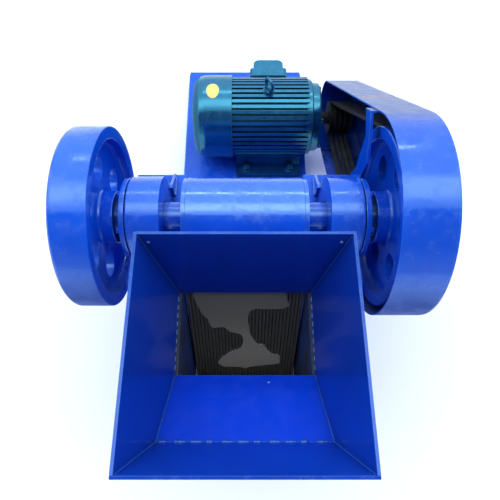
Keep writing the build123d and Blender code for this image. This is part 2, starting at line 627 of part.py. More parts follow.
def radial_plane(angle, y, z):
    """Plane through a pulley's axis: local x along the axis, local y outward at angle."""
    return Plane(origin=(0, SHAFT_Y + y, SHAFT_Z + z), x_dir=(1, 0, 0), z_dir=(0, -sin(angle), cos(angle)))


def belt_section(x, r):
    """Outline of one belt, top flush with the pulley's rim at r."""
    Polyline((x - BELT_TOP / 2, r), (x - BELT_BOT / 2, r - BELT_H), (x + BELT_BOT / 2, r - BELT_H), (x + BELT_TOP / 2, r), close=True)


with BuildPart() as v_belts:
    for k in range(BELT_N):
        c = BELT_X + (k - (BELT_N - 1) / 2) * BELT_P
        for angle, amount in ((run_lean + run_turn, -run_len), (run_lean - run_turn, run_len)):
            with BuildSketch(radial_plane(angle, 0, 0)):
                with BuildLine():
                    belt_section(c, WHEEL_R)
                make_face()
            extrude(amount=amount)
        with BuildSketch(radial_plane(run_lean + run_turn, 0, 0)):
            with BuildLine():
                belt_section(c, WHEEL_R)
            make_face()
        revolve(axis=Axis((0, SHAFT_Y, SHAFT_Z), (1, 0, 0)), revolution_arc=360 - 2 * degrees(run_turn))
        with BuildSketch(radial_plane(run_lean - run_turn, MOTOR_DY, MOTOR_DZ)):
            with BuildLine():
                belt_section(c, MPULLEY_R)
            make_face()
        revolve(axis=Axis((0, SHAFT_Y + MOTOR_DY, SHAFT_Z + MOTOR_DZ), (1, 0, 0)), revolution_arc=2 * degrees(run_turn))
save(v_belts, "v_belts")

# ================================================================== belt guard
with BuildPart() as guard_band:
    with BuildSketch(square_to_shaft(GUARD_X0)):
        with BuildLine():
            belt_loop(GUARD_R, GUARD_NOSE, GUARD_SET)
        make_face()
        with BuildLine():
            belt_loop(GUARD_R - GUARD_T, GUARD_NOSE - GUARD_T, GUARD_SET)
        make_face(mode=Mode.SUBTRACT)
    extrude(amount=GUARD_X1 - GUARD_T - GUARD_X0)
save(guard_band, "guard_band")

with BuildPart() as guard_side_plate:
    with BuildSketch(square_to_shaft(GUARD_X1 - GUARD_T)):
        with BuildLine():
            belt_loop(GUARD_R, GUARD_NOSE, GUARD_SET)
        make_face()
    extrude(amount=GUARD_T)
save(guard_side_plate, "guard_side_plate")

# leg on the right-hand ledge, arm back and up from it, and a flat tab under the band's upper run
BRACKET_X, BRACKET_T = 235.0, 6.0
(b0, b1, b2, b3) = belt_line(GUARD_R - GUARD_T, GUARD_NOSE - GUARD_T, GUARD_SET)
tab_run = ((b1[0] - b0[0]) / hypot(b1[0] - b0[0], b1[1] - b0[1]), (b1[1] - b0[1]) / hypot(b1[0] - b0[0], b1[1] - b0[1]))
tab_t = (172.0 - b0[0]) / tab_run[0]
tab_at = (172.0 + 2.4 * tab_run[1], b0[1] + tab_t * tab_run[1] - 2.4 * tab_run[0])
with BuildPart() as guard_bracket:
    with BuildSketch(square_to_shaft(BRACKET_X)):
        with BuildLine():
            Polyline((84, LEDGE_Z1), (138, LEDGE_Z1), (123, -12), (138, 80),
                     (tab_at[0] + 17 * tab_run[0], tab_at[1] + 17 * tab_run[1]),
                     (tab_at[0] - 17 * tab_run[0], tab_at[1] - 17 * tab_run[1]), (121, 100), (84, 64), close=True)
        make_face()
    extrude(amount=BRACKET_T)
    with BuildSketch(square_to_shaft(BRACKET_X)):
        with Locations(Location((tab_at[0], tab_at[1], 0), (0, 0, degrees(atan2(tab_run[1], tab_run[0]))))):
            Rectangle(38, 4)
    extrude(amount=28)
save(guard_bracket, "guard_bracket")

with BuildPart() as guard_lower_bracket:
    with BuildSketch(level(FEET_Z)):
        with Locations((242, MOTOR_DY)):
            Rectangle(108, 44)
    extrude(amount=5)
    with BuildSketch(level(FEET_Z)):
        with Locations((272, MOTOR_DY)):
            Rectangle(48, 44)
    extrude(amount=MOTOR_DZ - GUARD_NOSE - FEET_Z)
save(guard_lower_bracket, "guard_lower_bracket")
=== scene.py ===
import json
import math

import bmesh
import bpy
import numpy as np
from mathutils import Matrix, Vector


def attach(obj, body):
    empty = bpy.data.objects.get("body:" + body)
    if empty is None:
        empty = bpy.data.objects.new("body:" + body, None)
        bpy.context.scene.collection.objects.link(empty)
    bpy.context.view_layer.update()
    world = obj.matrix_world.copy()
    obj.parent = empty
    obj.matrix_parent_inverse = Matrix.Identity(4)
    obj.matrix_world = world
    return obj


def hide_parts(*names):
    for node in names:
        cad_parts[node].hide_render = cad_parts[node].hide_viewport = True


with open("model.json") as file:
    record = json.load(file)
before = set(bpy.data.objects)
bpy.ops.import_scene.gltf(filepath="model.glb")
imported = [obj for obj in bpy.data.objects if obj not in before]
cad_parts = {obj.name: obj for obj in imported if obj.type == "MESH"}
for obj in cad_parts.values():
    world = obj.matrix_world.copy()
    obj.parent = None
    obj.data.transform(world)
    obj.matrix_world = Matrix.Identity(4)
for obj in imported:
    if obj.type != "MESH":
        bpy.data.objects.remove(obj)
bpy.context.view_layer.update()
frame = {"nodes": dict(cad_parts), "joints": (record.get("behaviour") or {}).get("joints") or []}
N = frame["nodes"]
J = {j["name"]: j for j in frame["joints"]}
SY, SZ = J["shaft_spin"]["pos_m"][1:]
MY, MZ = J["motor_spin"]["pos_m"][1:]
rng = np.random.default_rng(7)


def P(x, y, z):
    """Point given in mm from the eccentric shaft's axis, in metres in the shared frame."""
    return Vector((x / 1000, SY + y / 1000, SZ + z / 1000))


# ------------------------------------------------------------------ node helpers
class Tree:
    def __init__(self, name):
        self.mat = bpy.data.materials.new(name)
        self.mat.use_nodes = True
        self.t = self.mat.node_tree
        self.t.nodes.clear()
        self.out = self.add("ShaderNodeOutputMaterial")
        self.bsdf = self.add("ShaderNodeBsdfPrincipled")
        self.link(self.bsdf.outputs[0], self.out.inputs[0])
        self.tc = self.add("ShaderNodeTexCoord").outputs["Object"]
        self.geo = self.add("ShaderNodeNewGeometry")

    def add(self, kind, **kw):
        n = self.t.nodes.new(kind)
        for k, v in kw.items():
            setattr(n, k, v)
        return n

    def link(self, a, b):
        self.t.links.new(a, b)

    def put(self, socket, v):
        if hasattr(v, "is_output"):
            self.link(v, socket)
        else:
            socket.default_value = v

    def scaled(self, x, y, z, rot=(0, 0, 0)):
        m = self.add("ShaderNodeMapping")
        m.inputs["Scale"].default_value = (x, y, z)
        m.inputs["Rotation"].default_value = rot
        self.link(self.tc, m.inputs["Vector"])
        return m.outputs[0]

    def noise(self, scale, detail=4, rough=0.55, vec=None, dist=0.0):
        n = self.add("ShaderNodeTexNoise")
        n.inputs["Scale"].default_value = scale
        n.inputs["Detail"].default_value = detail
        n.inputs["Roughness"].default_value = rough
        n.inputs["Distortion"].default_value = dist
        self.link(vec if vec is not None else self.tc, n.inputs["Vector"])
        return n.outputs["Fac"]

    def ramp(self, fac, lo, hi, a=0.0, b=1.0):
        n = self.add("ShaderNodeMapRange")
        n.interpolation_type = "SMOOTHSTEP"
        n.inputs["From Min"].default_value = lo
        n.inputs["From Max"].default_value = hi
        n.inputs["To Min"].default_value = a
        n.inputs["To Max"].default_value = b
        self.link(fac, n.inputs["Value"])
        return n.outputs[0]

    def math(self, op, a, b=0.0):
        n = self.add("ShaderNodeMath", operation=op)
        self.put(n.inputs[0], a)
        self.put(n.inputs[1], b)
        return n.outputs[0]

    def mix(self, fac, a, b, kind="MIX"):
        n = self.add("ShaderNodeMix", data_type="RGBA", blend_type=kind)
        self.put(n.inputs["Factor"], fac)
        self.put(n.inputs["A"], a)
        self.put(n.inputs["B"], b)
        return n.outputs["Result"]

    def bump(self, height, strength, distance, normal=None):
        n = self.add("ShaderNodeBump")
        n.inputs["Strength"].default_value = strength
        n.inputs["Distance"].default_value = distance
        self.link(height, n.inputs["Height"])
        if normal is not None:
            self.link(normal, n.inputs["Normal"])
        return n.outputs[0]

    def up(self):
        """How far the surface faces upward, from -1 to 1."""
        s = self.add("ShaderNodeSeparateXYZ")
        self.link(self.geo.outputs["Normal"], s.inputs[0])
        return s.outputs["Z"]

    def edge(self, radius=0.002):
        """1 on sharp edges and 0 on flats."""
        b = self.add("ShaderNodeBevel", samples=4)
        b.inputs["Radius"].default_value = radius
        d = self.add("ShaderNodeVectorMath", operation="DOT_PRODUCT")
        self.link(b.outputs[0], d.inputs[0])
        self.link(self.geo.outputs["True Normal"], d.inputs[1])
        return self.ramp(d.outputs["Value"], 0.985, 0.86)

    def hollow(self, distance=0.03):
        """1 in tight corners and 0 in the open."""
        a = self.add("ShaderNodeAmbientOcclusion", samples=4)
        a.inputs["Distance"].default_value = distance
        return self.ramp(a.outputs["AO"], 0.85, 0.30)

    def done(self, color, rough, normal=None, metal=0.0, coat=0.0, coat_rough=0.05, ior=1.5, spec=0.5, coat_ior=1.5, glow=0.0, tint=(1, 1, 1)):
        b = self.bsdf
        b.inputs["Specular Tint"].default_value = (*tint, 1)
        b.inputs["Coat IOR"].default_value = coat_ior
        b.inputs["Emission Color"].default_value = (1, 1, 1, 1)
        b.inputs["Emission Strength"].default_value = glow
        self.put(b.inputs["Base Color"], color)
        self.put(b.inputs["Roughness"], rough)
        b.inputs["Metallic"].default_value = metal
        b.inputs["IOR"].default_value = ior
        b.inputs["Specular IOR Level"].default_value = spec
        b.inputs["Coat Weight"].default_value = coat
        b.inputs["Coat Roughness"].default_value = coat_rough
        if normal is not None:
            self.link(normal, b.inputs["Normal"])
        return self.mat


def rgb(r, g, b):
    return (r, g, b, 1.0)


# ------------------------------------------------------------------ materials
def enamel(name, base, deep, pale, cast=0.0, runs=0.0, dust=0.10, chips=0.25, peel=0.03, rough=(0.10, 0.20), coat=0.12, scratch=0.0, ior=1.82, haze=0.0, inward_shade=0.0, low_front_shade=0.0):
    """Thick gloss enamel: mottled colour, painted shade in tight corners, dust on top faces, painted highlight on
    edges, chips, orange peel, cast grain and runs.
    """
    t = Tree(name)
    big, mid = t.noise(5.0, 3), t.noise(42.0, 5, 0.6)
    fine = t.noise(520.0, 2)
    col = t.mix(t.ramp(big, 0.32, 0.68), rgb(*deep), rgb(*base))
    streak = t.noise(1.0, 4, 0.6, t.scaled(46, 46, 5))
    col = t.mix(t.math("MULTIPLY", t.ramp(streak, 0.54, 0.75), 0.25), col, rgb(*deep))
    # painted shade: tight corners are darkened towards a deep blue
    corner_shade = t.math("MULTIPLY", t.hollow(), t.ramp(mid, 0.2, 0.7, 0.45, 0.85))
    col = t.mix(corner_shade, col, rgb(0.003, 0.012, 0.060))
    edge = t.edge(0.0022)
    # painted highlight: sharp edges are lightened towards the pale blue
    col = t.mix(t.math("MULTIPLY", edge, 0.45), col, rgb(*pale))
    chip = t.math("MULTIPLY", edge, t.ramp(t.noise(130.0, 5, 0.65), 0.60, 0.66))
    col = t.mix(t.math("MULTIPLY", chip, chips), col, rgb(0.16, 0.15, 0.15))
    top = t.math("MULTIPLY", t.ramp(t.up(), 0.25, 0.95), t.ramp(mid, 0.40, 0.75))
    col = t.mix(t.math("MULTIPLY", top, dust), col, rgb(0.30, 0.34, 0.44))
    speck = t.ramp(t.noise(300.0, 3, 0.7), 0.70, 0.74)
    col = t.mix(t.math("MULTIPLY", speck, 0.25), col, rgb(*pale))
    r = t.math("ADD", t.ramp(mid, 0.3, 0.75, rough[0], rough[1]), t.math("MULTIPLY", top, 0.2))
    facing = t.add("ShaderNodeSeparateXYZ")
    t.link(t.geo.outputs["Normal"], facing.inputs[0])
    if haze:
        # a dull dusty film with a reddish smear on the run that slopes to the back
        back = t.math("MULTIPLY", t.ramp(facing.outputs["Y"], 0.25, 0.70), haze)
        smear = t.ramp(t.noise(7.0, 3), 0.52, 0.66)
        col = t.mix(back, col, t.mix(smear, rgb(0.12, 0.12, 0.25), rgb(0.22, 0.14, 0.17)))
        r = t.math("ADD", r, t.math("MULTIPLY", back, 0.45))
    if low_front_shade:
        # painted shade: the low front of the rim is darkened, and also made rougher
        spot = t.add("ShaderNodeSeparateXYZ")
        t.link(t.tc, spot.inputs[0])
        low_front_mask = t.math("MULTIPLY", t.ramp(spot.outputs["Z"], SZ + 0.12, SZ + 0.02), t.ramp(spot.outputs["Y"], SY - 0.05, SY - 0.12))
        low_front_mask = t.math("MULTIPLY", low_front_mask, t.ramp(mid, 0.2, 0.7, 0.8 * low_front_shade, low_front_shade))
        col = t.mix(t.math("MULTIPLY", low_front_mask, 0.75), col, rgb(deep[0] + 0.002, deep[1] * 0.55, deep[2] * 0.45))
        r = t.math("ADD", r, t.math("MULTIPLY", low_front_mask, 0.80))
    if inward_shade:
        # painted shade on the inner side: faces turned towards -X are darkened
        inner = t.math("MULTIPLY", t.ramp(facing.outputs["X"], -0.3, -0.8), inward_shade)
        col = t.mix(inner, col, rgb(0.004, 0.010, 0.045))
    n = t.bump(fine, peel, 0.0006)
    if cast:
        n = t.bump(t.noise(230.0, 4, 0.62), 0.22 * cast, 0.0010, n)
        n = t.bump(t.noise(22.0, 3), 0.10 * cast, 0.004, n)
    if runs:
        n = t.bump(t.ramp(streak, 0.50, 0.72), 0.16 * runs, 0.0010, n)
    if scratch:
        fine_lines = t.ramp(t.noise(1.0, 3, 0.6, t.scaled(9, 900, 900)), 0.60, 0.72)
        col = t.mix(t.math("MULTIPLY", fine_lines, scratch), col, rgb(*pale))
        n = t.bump(fine_lines, 0.10, 0.0004, n)
    return t.done(col, r, n, coat=coat, coat_rough=0.04, ior=ior, tint=(0.50, 0.86, 1.0))


BASE, DEEP, PALE = (0.003, 0.090, 0.73), (0.002, 0.066, 0.60), (0.08, 0.32, 0.98)
M = {}
M["frame"] = enamel("frame_paint", BASE, DEEP, PALE, cast=0.30, runs=0.8, dust=0.16)
M["cast"] = enamel("cast_paint", BASE, DEEP, PALE, cast=0.45, runs=1.0, dust=0.06)
M["barrel"] = enamel("barrel_paint", BASE, DEEP, PALE, cast=0.20, runs=0.8, dust=0.04, ior=2.3)
M["rough"] = enamel("rough_cast_paint", BASE, DEEP, PALE, cast=2.2, runs=0.3, dust=0.05)
M["wheel"] = enamel("wheel_paint", BASE, DEEP, PALE, cast=0.15, runs=0.8, dust=0.05, scratch=0.10, low_front_shade=1.0)
HB, HD = (0.005, 0.048, 0.45), (0.004, 0.038, 0.37)
M["hopper"] = enamel("hopper_paint", HB, HD, PALE, cast=0.10, runs=0.3, dust=0.04, chips=0.5, ior=1.6)
M["worn"] = enamel("hopper_floor_paint", (0.001, 0.042, 0.60), (0.001, 0.033, 0.50), PALE, cast=0.25, runs=0.2, dust=0.02, chips=0.5, rough=(0.40, 0.55), coat=0.0, ior=1.28, scratch=0.05)
M["flat"] = enamel("dusty_frame_paint", BASE, DEEP, PALE, cast=0.35, runs=0.4, dust=0.11, rough=(0.28, 0.42), coat=0.03, ior=1.45)
M["guard"] = enamel("guard_paint", BASE, DEEP, PALE, cast=0.08, runs=0.5, dust=0.05, chips=0.35, rough=(0.09, 0.17), haze=0.9, low_front_shade=1.0)
M["guard_inside"] = enamel("guard_inside_paint", BASE, DEEP, PALE, cast=0.08, runs=0.5, dust=0.05, chips=0.35, rough=(0.12, 0.22), inward_shade=0.8)
M["seam"] = enamel("seam_paint", (0.10, 0.24, 0.62), (0.04, 0.13, 0.45), (0.30, 0.45, 0.80), cast=0.5, dust=0.05, rough=(0.25, 0.40))


def motor_enamel():
    t = Tree("motor_paint")
    big, mid = t.noise(7.0, 3), t.noise(60.0, 5, 0.6)
    col = t.mix(t.ramp(big, 0.3, 0.7), rgb(0.001, 0.026, 0.100), rgb(0.002, 0.048, 0.165))
    edge = t.edge(0.0016)
    # painted highlight: sharp edges are lightened towards a pale cyan
    col = t.mix(t.math("MULTIPLY", edge, 0.5), col, rgb(0.06, 0.28, 0.50))
    # painted shade: tight corners are darkened nearly to black
    col = t.mix(t.math("MULTIPLY", t.hollow(0.02), 0.7), col, rgb(0.002, 0.010, 0.030))
    top = t.math("MULTIPLY", t.ramp(t.up(), 0.2, 0.95), t.ramp(mid, 0.42, 0.78))
    col = t.mix(t.math("MULTIPLY", top, 0.08), col, rgb(0.20, 0.30, 0.38))
    # painted shade on the faces turned to either end, round the fan's intake and the shaft end; these are also made
    # rougher
    facing = t.add("ShaderNodeSeparateXYZ")
    t.link(t.geo.outputs["Normal"], facing.inputs[0])
    end_shade = t.ramp(t.math("ABSOLUTE", facing.outputs["X"]), 0.22, 0.65)
    col = t.mix(t.math("MULTIPLY", end_shade, 0.5), col, rgb(0.006, 0.016, 0.075))
    n = t.bump(t.noise(420.0, 3), 0.05, 0.0006)
    return t.done(col, t.math("ADD", t.ramp(mid, 0.3, 0.75, 0.14, 0.26), t.math("MULTIPLY", end_shade, 0.50)), n, coat=0.02, ior=2.5, tint=(0.16, 0.76, 1.0))


M["motor"] = motor_enamel()


def jaw_steel(name, lo, hi, deeper=1.0, paint=0.0, warm=1.0):
    """Dark manganese casting, paler lower down, with rust specks, paint left on the cheeks and painted shade on the
    cheeks' upward faces.
    """
    t = Tree(name)
    sep = t.add("ShaderNodeSeparateXYZ")
    t.link(t.tc, sep.inputs[0])
    grain = t.noise(160.0, 5, 0.65)
    low = t.ramp(sep.outputs["Z"], SZ - 0.06, SZ - 0.29)
    col = t.mix(t.ramp(grain, 0.3, 0.7), rgb(lo, lo * (2 + warm) / 3, lo * warm), rgb(hi, hi * (2 + warm) / 3, hi * warm))
    lower_colour = t.mix(t.ramp(grain, 0.3, 0.7), rgb(lo * deeper, lo * deeper * (3 + warm) / 4, lo * deeper * (1 + warm) / 2), rgb(hi * deeper, hi * deeper * (3 + warm) / 4, hi * deeper * (1 + warm) / 2))
    col = t.mix(low, col, lower_colour)
    rust = t.ramp(t.noise(34.0, 5, 0.65), 0.62, 0.78)
    col = t.mix(t.math("MULTIPLY", rust, 0.18), col, rgb(0.10, 0.060, 0.035))
    if paint:
        left = t.ramp(t.noise(11.0, 4, 0.6), 0.30, 0.62)
        col = t.mix(t.math("MULTIPLY", left, paint), col, rgb(0.022, 0.075, 0.32))
        # painted shade: faces turned upward are darkened nearly to black
        col = t.mix(t.math("MULTIPLY", t.ramp(t.up(), 0.5, 0.9), 0.92), col, rgb(0.006, 0.010, 0.024))
    n = t.bump(grain, 0.25, 0.0008)
    return t.done(col, t.ramp(grain, 0.3, 0.7, 0.45, 0.70), n, metal=0.1)


M["jaw"] = jaw_steel("jaw_steel", 0.056, 0.100, 1.5, warm=0.9)
M["cheek"] = jaw_steel("cheek_steel", 0.030, 0.050, 1.3, 0.95)
M["rubbed"] = jaw_steel("rubbed_jaw_steel", 0.185, 0.215, 2.7, warm=0.72)


def plain_steel(name, lo, hi, rough, metal=1.0, rust=0.0, turned=False):
    t = Tree(name)
    mid = t.noise(70.0, 5, 0.6)
    col = t.mix(t.ramp(mid, 0.3, 0.7), rgb(*lo), rgb(*hi))
    if rust:
        col = t.mix(t.math("MULTIPLY", t.ramp(t.noise(30.0, 5, 0.65), 0.55, 0.72), rust), col, rgb(0.10, 0.045, 0.02))
    n = t.bump(t.noise(380.0, 3), 0.08, 0.0005)
    if turned:
        n = t.bump(t.noise(1.0, 2, 0.5, t.scaled(1400, 3, 3)), 0.12, 0.0004, n)
    return t.done(col, t.ramp(mid, 0.3, 0.7, rough[0], rough[1]), n, metal=metal)


M["steel"] = plain_steel("machined_steel", (0.32, 0.32, 0.34), (0.52, 0.52, 0.54), (0.22, 0.42), turned=True, rust=0.15)
M["zinc"] = plain_steel("zinc_bolts", (0.30, 0.31, 0.33), (0.50, 0.51, 0.53), (0.28, 0.48), rust=0.2)
M["sooty"] = plain_steel("sooty_iron", (0.008, 0.008, 0.009), (0.022, 0.021, 0.022), (0.50, 0.75), metal=0.2, rust=0.15)
M["black"] = plain_steel("black_steel", (0.020, 0.020, 0.022), (0.050, 0.050, 0.054), (0.30, 0.55), metal=0.7, rust=0.2)


def rubber():
    t = Tree("belt_rubber")
    mid = t.noise(60.0, 5, 0.6)
    col = t.mix(t.ramp(mid, 0.35, 0.75), rgb(0.010, 0.010, 0.010), rgb(0.035, 0.034, 0.032))
    dust = t.ramp(t.noise(16.0, 4, 0.6), 0.52, 0.75)
    col = t.mix(t.math("MULTIPLY", dust, 0.35), col, rgb(0.09, 0.085, 0.08))
    weave = t.add("ShaderNodeTexWave", wave_type="BANDS", bands_direction="DIAGONAL")
    weave.inputs["Scale"].default_value = 420.0
    weave.inputs["Distortion"].default_value = 1.5
    t.link(t.tc, weave.inputs["Vector"])
    n = t.bump(weave.outputs["Fac"], 0.22, 0.0004)
    return t.done(col, t.ramp(mid, 0.3, 0.7, 0.55, 0.80), n, spec=0.35)


M["rubber"] = rubber()


def sticker():
    t = Tree("blank_sticker")
    mid = t.noise(90.0, 4)
    col = t.mix(t.ramp(mid, 0.3, 0.7), rgb(0.80, 0.60, 0.10), rgb(0.86, 0.70, 0.22))
    return t.done(col, t.ramp(mid, 0.3, 0.7, 0.30, 0.45), t.bump(mid, 0.05, 0.0003), coat=0.3)


M["sticker"] = sticker()

# ------------------------------------------------------------------ mesh helpers
def make(name, verts, faces, mat, body="frame", slot=None, smooth=40.0, bevel=None, segs=2, replaces=()):
    me = bpy.data.meshes.new(name)
    me.from_pydata([tuple(v) for v in verts], [], [tuple(f) for f in faces])
    bm = bmesh.new()
    bm.from_mesh(me)
    bmesh.ops.recalc_face_normals(bm, faces=bm.faces)
    bm.to_mesh(me)
    bm.free()
    me.update()
    o = bpy.data.objects.new(name, me)
    bpy.context.scene.collection.objects.link(o)
    me.materials.append(M[mat])
    finish_piece(o, body, smooth, bevel, segs, replaces)
    return o


def finish_piece(o, body, smooth=40.0, bevel=None, segs=2, replaces=()):
    if smooth:
        o.data.polygons.foreach_set("use_smooth", [True] * len(o.data.polygons))
        o.data.set_sharp_from_angle(angle=math.radians(smooth))
    if bevel:
        b = o.modifiers.new("edges", "BEVEL")
        b.width, b.segments, b.limit_method, b.angle_limit = bevel, segs, "ANGLE", math.radians(35)
        b.harden_normals = True
    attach(o, body)
    if replaces:
        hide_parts(*replaces)


def joined(parts):
    verts, faces = [], []
    for v, f in parts:
        k = len(verts)
        verts += [tuple(p) for p in v]
        faces += [tuple(i + k for i in q) for q in f]
    return verts, faces


def basis(axis):
    a = Vector(axis).normalized()
    u = a.orthogonal().normalized()
    return a, u, a.cross(u)


def ring_stack(center, axis, rings, count, turn=0.0, caps=True):
    """Rings (height along axis, radius) joined into a closed turned shape."""
    a, u, w = basis(axis)
    c = Vector(center)
    verts, faces = [], []
    for h, r in rings:
        for k in range(count):
            t = turn + 2 * math.pi * k / count
            verts.append(c + a * h + u * (r * math.cos(t)) + w * (r * math.sin(t)))
    for i in range(len(rings) - 1):
        for k in range(count):
            k2 = (k + 1) % count
            faces.append((i * count + k, i * count + k2, (i + 1) * count + k2, (i + 1) * count + k))
    if caps:
        faces.append(tuple(range(count)))
        faces.append(tuple((len(rings) - 1) * count + k for k in range(count)))
    return verts, faces


def bolt(center, axis, size, turn=0.0, washer=True, shank=0.0):
    """Hexagon head with a chamfered crown, a washer and an optional thread end, size = across flats."""
    r = size / math.sqrt(3)
    parts = []
    h0 = 0.0
    if washer:
        parts.append(ring_stack(center, axis, [(0, r * 1.42), (size * 0.13, r * 1.42), (size * 0.17, r * 1.36)], 20))
        h0 = size * 0.15
    parts.append(ring_stack(center, axis, [(h0, r), (h0 + size * 0.52, r), (h0 + size * 0.60, r * 0.90)], 6, turn))
    if shank:
        s = size * 0.32
        parts.append(ring_stack(center, axis, [(h0 + size * 0.5, s), (h0 + size * 0.6 + shank, s), (h0 + size * 0.64 + shank, s * 0.85)], 14))
    return joined(parts)


def lathe(profile, cy, cz, count=128):
    """Closed outline of (x, r) points turned about a line along X; returns vertices and faces."""
    n = len(profile)
    verts, faces = [], []
    for k in range(count):
        t = 2 * math.pi * k / count
        for x, r in profile:
            verts.append((x, cy + r * math.cos(t), cz + r * math.sin(t)))
    for k in range(count):
        k2 = (k + 1) % count
        for i in range(n):
            j = (i + 1) % n
            faces.append((k * n + i, k * n + j, k2 * n + j, k2 * n + i))
    return verts, faces


def rounded(points, radii, steps=5):
    """Outline with its corners rounded; points and radii are lists of the same length."""
    out = []
    n = len(points)
    for i in range(n):
        p, a, b = (Vector(points[i]), Vector(points[i - 1]), Vector(points[(i + 1) % n]))
        r = radii[i]
        if r <= 0:
            out.append(tuple(p))
            continue
        u, v = (a - p).normalized(), (b - p).normalized()
        half = math.acos(max(-1, min(1, u.dot(v)))) / 2
        if half > math.pi / 2 - 0.02:
            out.append(tuple(p))
            continue
        d = min(r / math.tan(half), 0.48 * (a - p).length, 0.48 * (b - p).length)
        rr = d * math.tan(half)
        c = p + (u + v).normalized() * (rr / math.sin(half))
        s, e = p + u * d - c, p + v * d - c
        ang = math.atan2(s.x * e.y - s.y * e.x, s.dot(e))
        for k in range(steps + 1):
            t = ang * k / steps
            out.append((c.x + s.x * math.cos(t) - s.y * math.sin(t), c.y + s.x * math.sin(t) + s.y * math.cos(t)))
    return out


def bead(points, r, lift=0.0, pitch=0.006, wobble=0.25, seed=1, ring=8):
    """Weld bead along a line of points: overlapping scallops of uneven size."""
    g = np.random.default_rng(seed)
    pts = [Vector(p) for p in points]
    lens = [0.0]
    for a, b in zip(pts, pts[1:]):
        lens.append(lens[-1] + (b - a).length)
    total = lens[-1]
    steps = max(6, int(total / (pitch / 5)))
    phase = np.cumsum(g.uniform(0.75, 1.25, int(total / pitch) + 3)) * pitch
    verts, faces = [], []
    for k in range(steps + 1):
        s = total * k / steps
        i = max(0, min(len(pts) - 2, int(np.searchsorted(lens, s, side="right")) - 1))
        t = (s - lens[i]) / max(1e-9, lens[i + 1] - lens[i])
        c = pts[i].lerp(pts[i + 1], t)
        d = (pts[i + 1] - pts[i]).normalized()
        a, u, w = basis(d)
        cell = int(np.searchsorted(phase, s))
        lo = phase[cell - 1] if cell else 0.0
        q = (s - lo) / max(1e-9, phase[min(cell, len(phase) - 1)] - lo)
        size = r * (0.82 + 0.26 * math.sin(math.pi * min(1, max(0, q))) + wobble * 0.25 * math.sin(cell * 2.3))
        if k in (0, steps):
            size *= 0.35
        for m in range(ring):
            an = 2 * math.pi * m / ring
            verts.append(c + u * (size * math.cos(an)) + w * (size * math.sin(an)))
    for k in range(steps):
        for m in range(ring):
            m2 = (m + 1) % ring
            faces.append((k * ring + m, k * ring + m2, (k + 1) * ring + m2, (k + 1) * ring + m))
    faces.append(tuple(range(ring)))
    faces.append(tuple(steps * ring + m for m in range(ring)))
    return verts, faces


# ------------------------------------------------------------------ finishes of the CAD nodes
FINISH = {
    "skid_rails": ("frame", 0.0015), "skid_cross_members": ("frame", 0.0015), "motor_platform": ("flat", 0.0012),
    "side_wall_left": ("frame", 0.002), "side_wall_right": ("frame", 0.002), "bearing_ledges": ("flat", 0.002),
    "wall_ribs": ("frame", 0.0015), "pedestal_gussets": ("frame", 0.001), "front_wall": ("frame", 0.002),
    "rear_wall": ("frame", 0.002), "toggle_seat": ("jaw", 0.001), "bearing_housing_left": ("cast", 0.003),
    "bearing_housing_right": ("cast", 0.003), "bearing_covers": ("cast", 0.0012), "fixed_jaw_plate": ("jaw", 0.0),
    "cheek_plates": ("cheek", 0.001),"toggle_plate": ("jaw", 0.001), "tension_rod": ("black", 0.0006),
    "tension_spring": ("black", 0.0), "hopper_back": ("hopper", 0.0008), "hopper_left": ("hopper", 0.0008),
    "hopper_right": ("hopper", 0.0008), "hopper_front": ("hopper", 0.0008), "hopper_floor": ("worn", 0.0008),
    "motor_frame": ("motor", 0.0024),"motor_fan_cowl": ("motor", 0.0), "motor_end_shield": ("motor", 0.001),
    "motor_terminal_box": ("motor", 0.0025),"motor_lifting_eye": ("motor", 0.0), "guard_band": ("guard", 0.0005),
    "guard_side_plate": ("guard_inside", 0.0), "guard_bracket": ("guard", 0.0008), "guard_lower_bracket": ("guard", 0.0006),
    "v_belts": ("rubber", 0.0), "eccentric_shaft": ("frame", 0.001), "flywheel": ("wheel", 0.0), "drive_pulley": ("wheel", 0.0),
    "shaft_locknuts": ("steel", 0.001), "pitman": ("barrel", 0.002), "pitman_end_rings": ("barrel", 0.001),
    "moving_jaw_plate": ("jaw", 0.0),"jaw_wedge": ("jaw", 0.001), "motor_shaft": ("black", 0.0008), "motor_pulley": ("sooty", 0.0),
}
for node, (mat, width) in FINISH.items():
    o = N[node]
    o.data.materials.clear()
    o.data.materials.append(M[mat])
    for at in ("custom_normal",):
        if at in o.data.attributes:
            o.data.attributes.remove(o.data.attributes[at])
    o.data.polygons.foreach_set("use_smooth", [True] * len(o.data.polygons))
    w = o.modifiers.new("weld", "WELD")
    w.merge_threshold = 2e-5
    if width:
        b = o.modifiers.new("edges", "BEVEL")
        b.width, b.segments, b.limit_method, b.angle_limit = width, 2, "ANGLE", math.radians(35)
        b.harden_normals = True
        b.use_clamp_overlap = True
    s = o.modifiers.new("split", "EDGE_SPLIT")
    s.split_angle = math.radians(38)
    s.use_edge_sharp = False

# ------------------------------------------------------------------ finer pieces
def raw(name, verts, faces, mat):
    me = bpy.data.meshes.new(name)
    me.from_pydata([tuple(v) for v in verts], [], [tuple(f) for f in faces])
    bm = bmesh.new()
    bm.from_mesh(me)
    bmesh.ops.recalc_face_normals(bm, faces=bm.faces)
    bm.to_mesh(me)
    bm.free()
    o = bpy.data.objects.new(name, me)
    bpy.context.scene.collection.objects.link(o)
    me.materials.append(M[mat])
    return o


def drill(o, cutters):
    """Cuts the given closed shapes out of o for good."""
    tools = []
    for v, f in cutters:
        c = raw("cutter", v, f, "steel")
        m = o.modifiers.new("cut", "BOOLEAN")
        m.operation, m.object, m.solver = "DIFFERENCE", c, "EXACT"
        tools.append(c)
    me = bpy.data.meshes.new_from_object(o.evaluated_get(bpy.context.evaluated_depsgraph_get()))
    me.name = o.name
    o.modifiers.clear()
    old = o.data
    o.data = me
    bpy.data.meshes.remove(old)
    for c in tools:
        d = c.data
        bpy.data.objects.remove(c)
        bpy.data.meshes.remove(d)
    me.materials.clear()
    me.materials.append(M["wheel"])


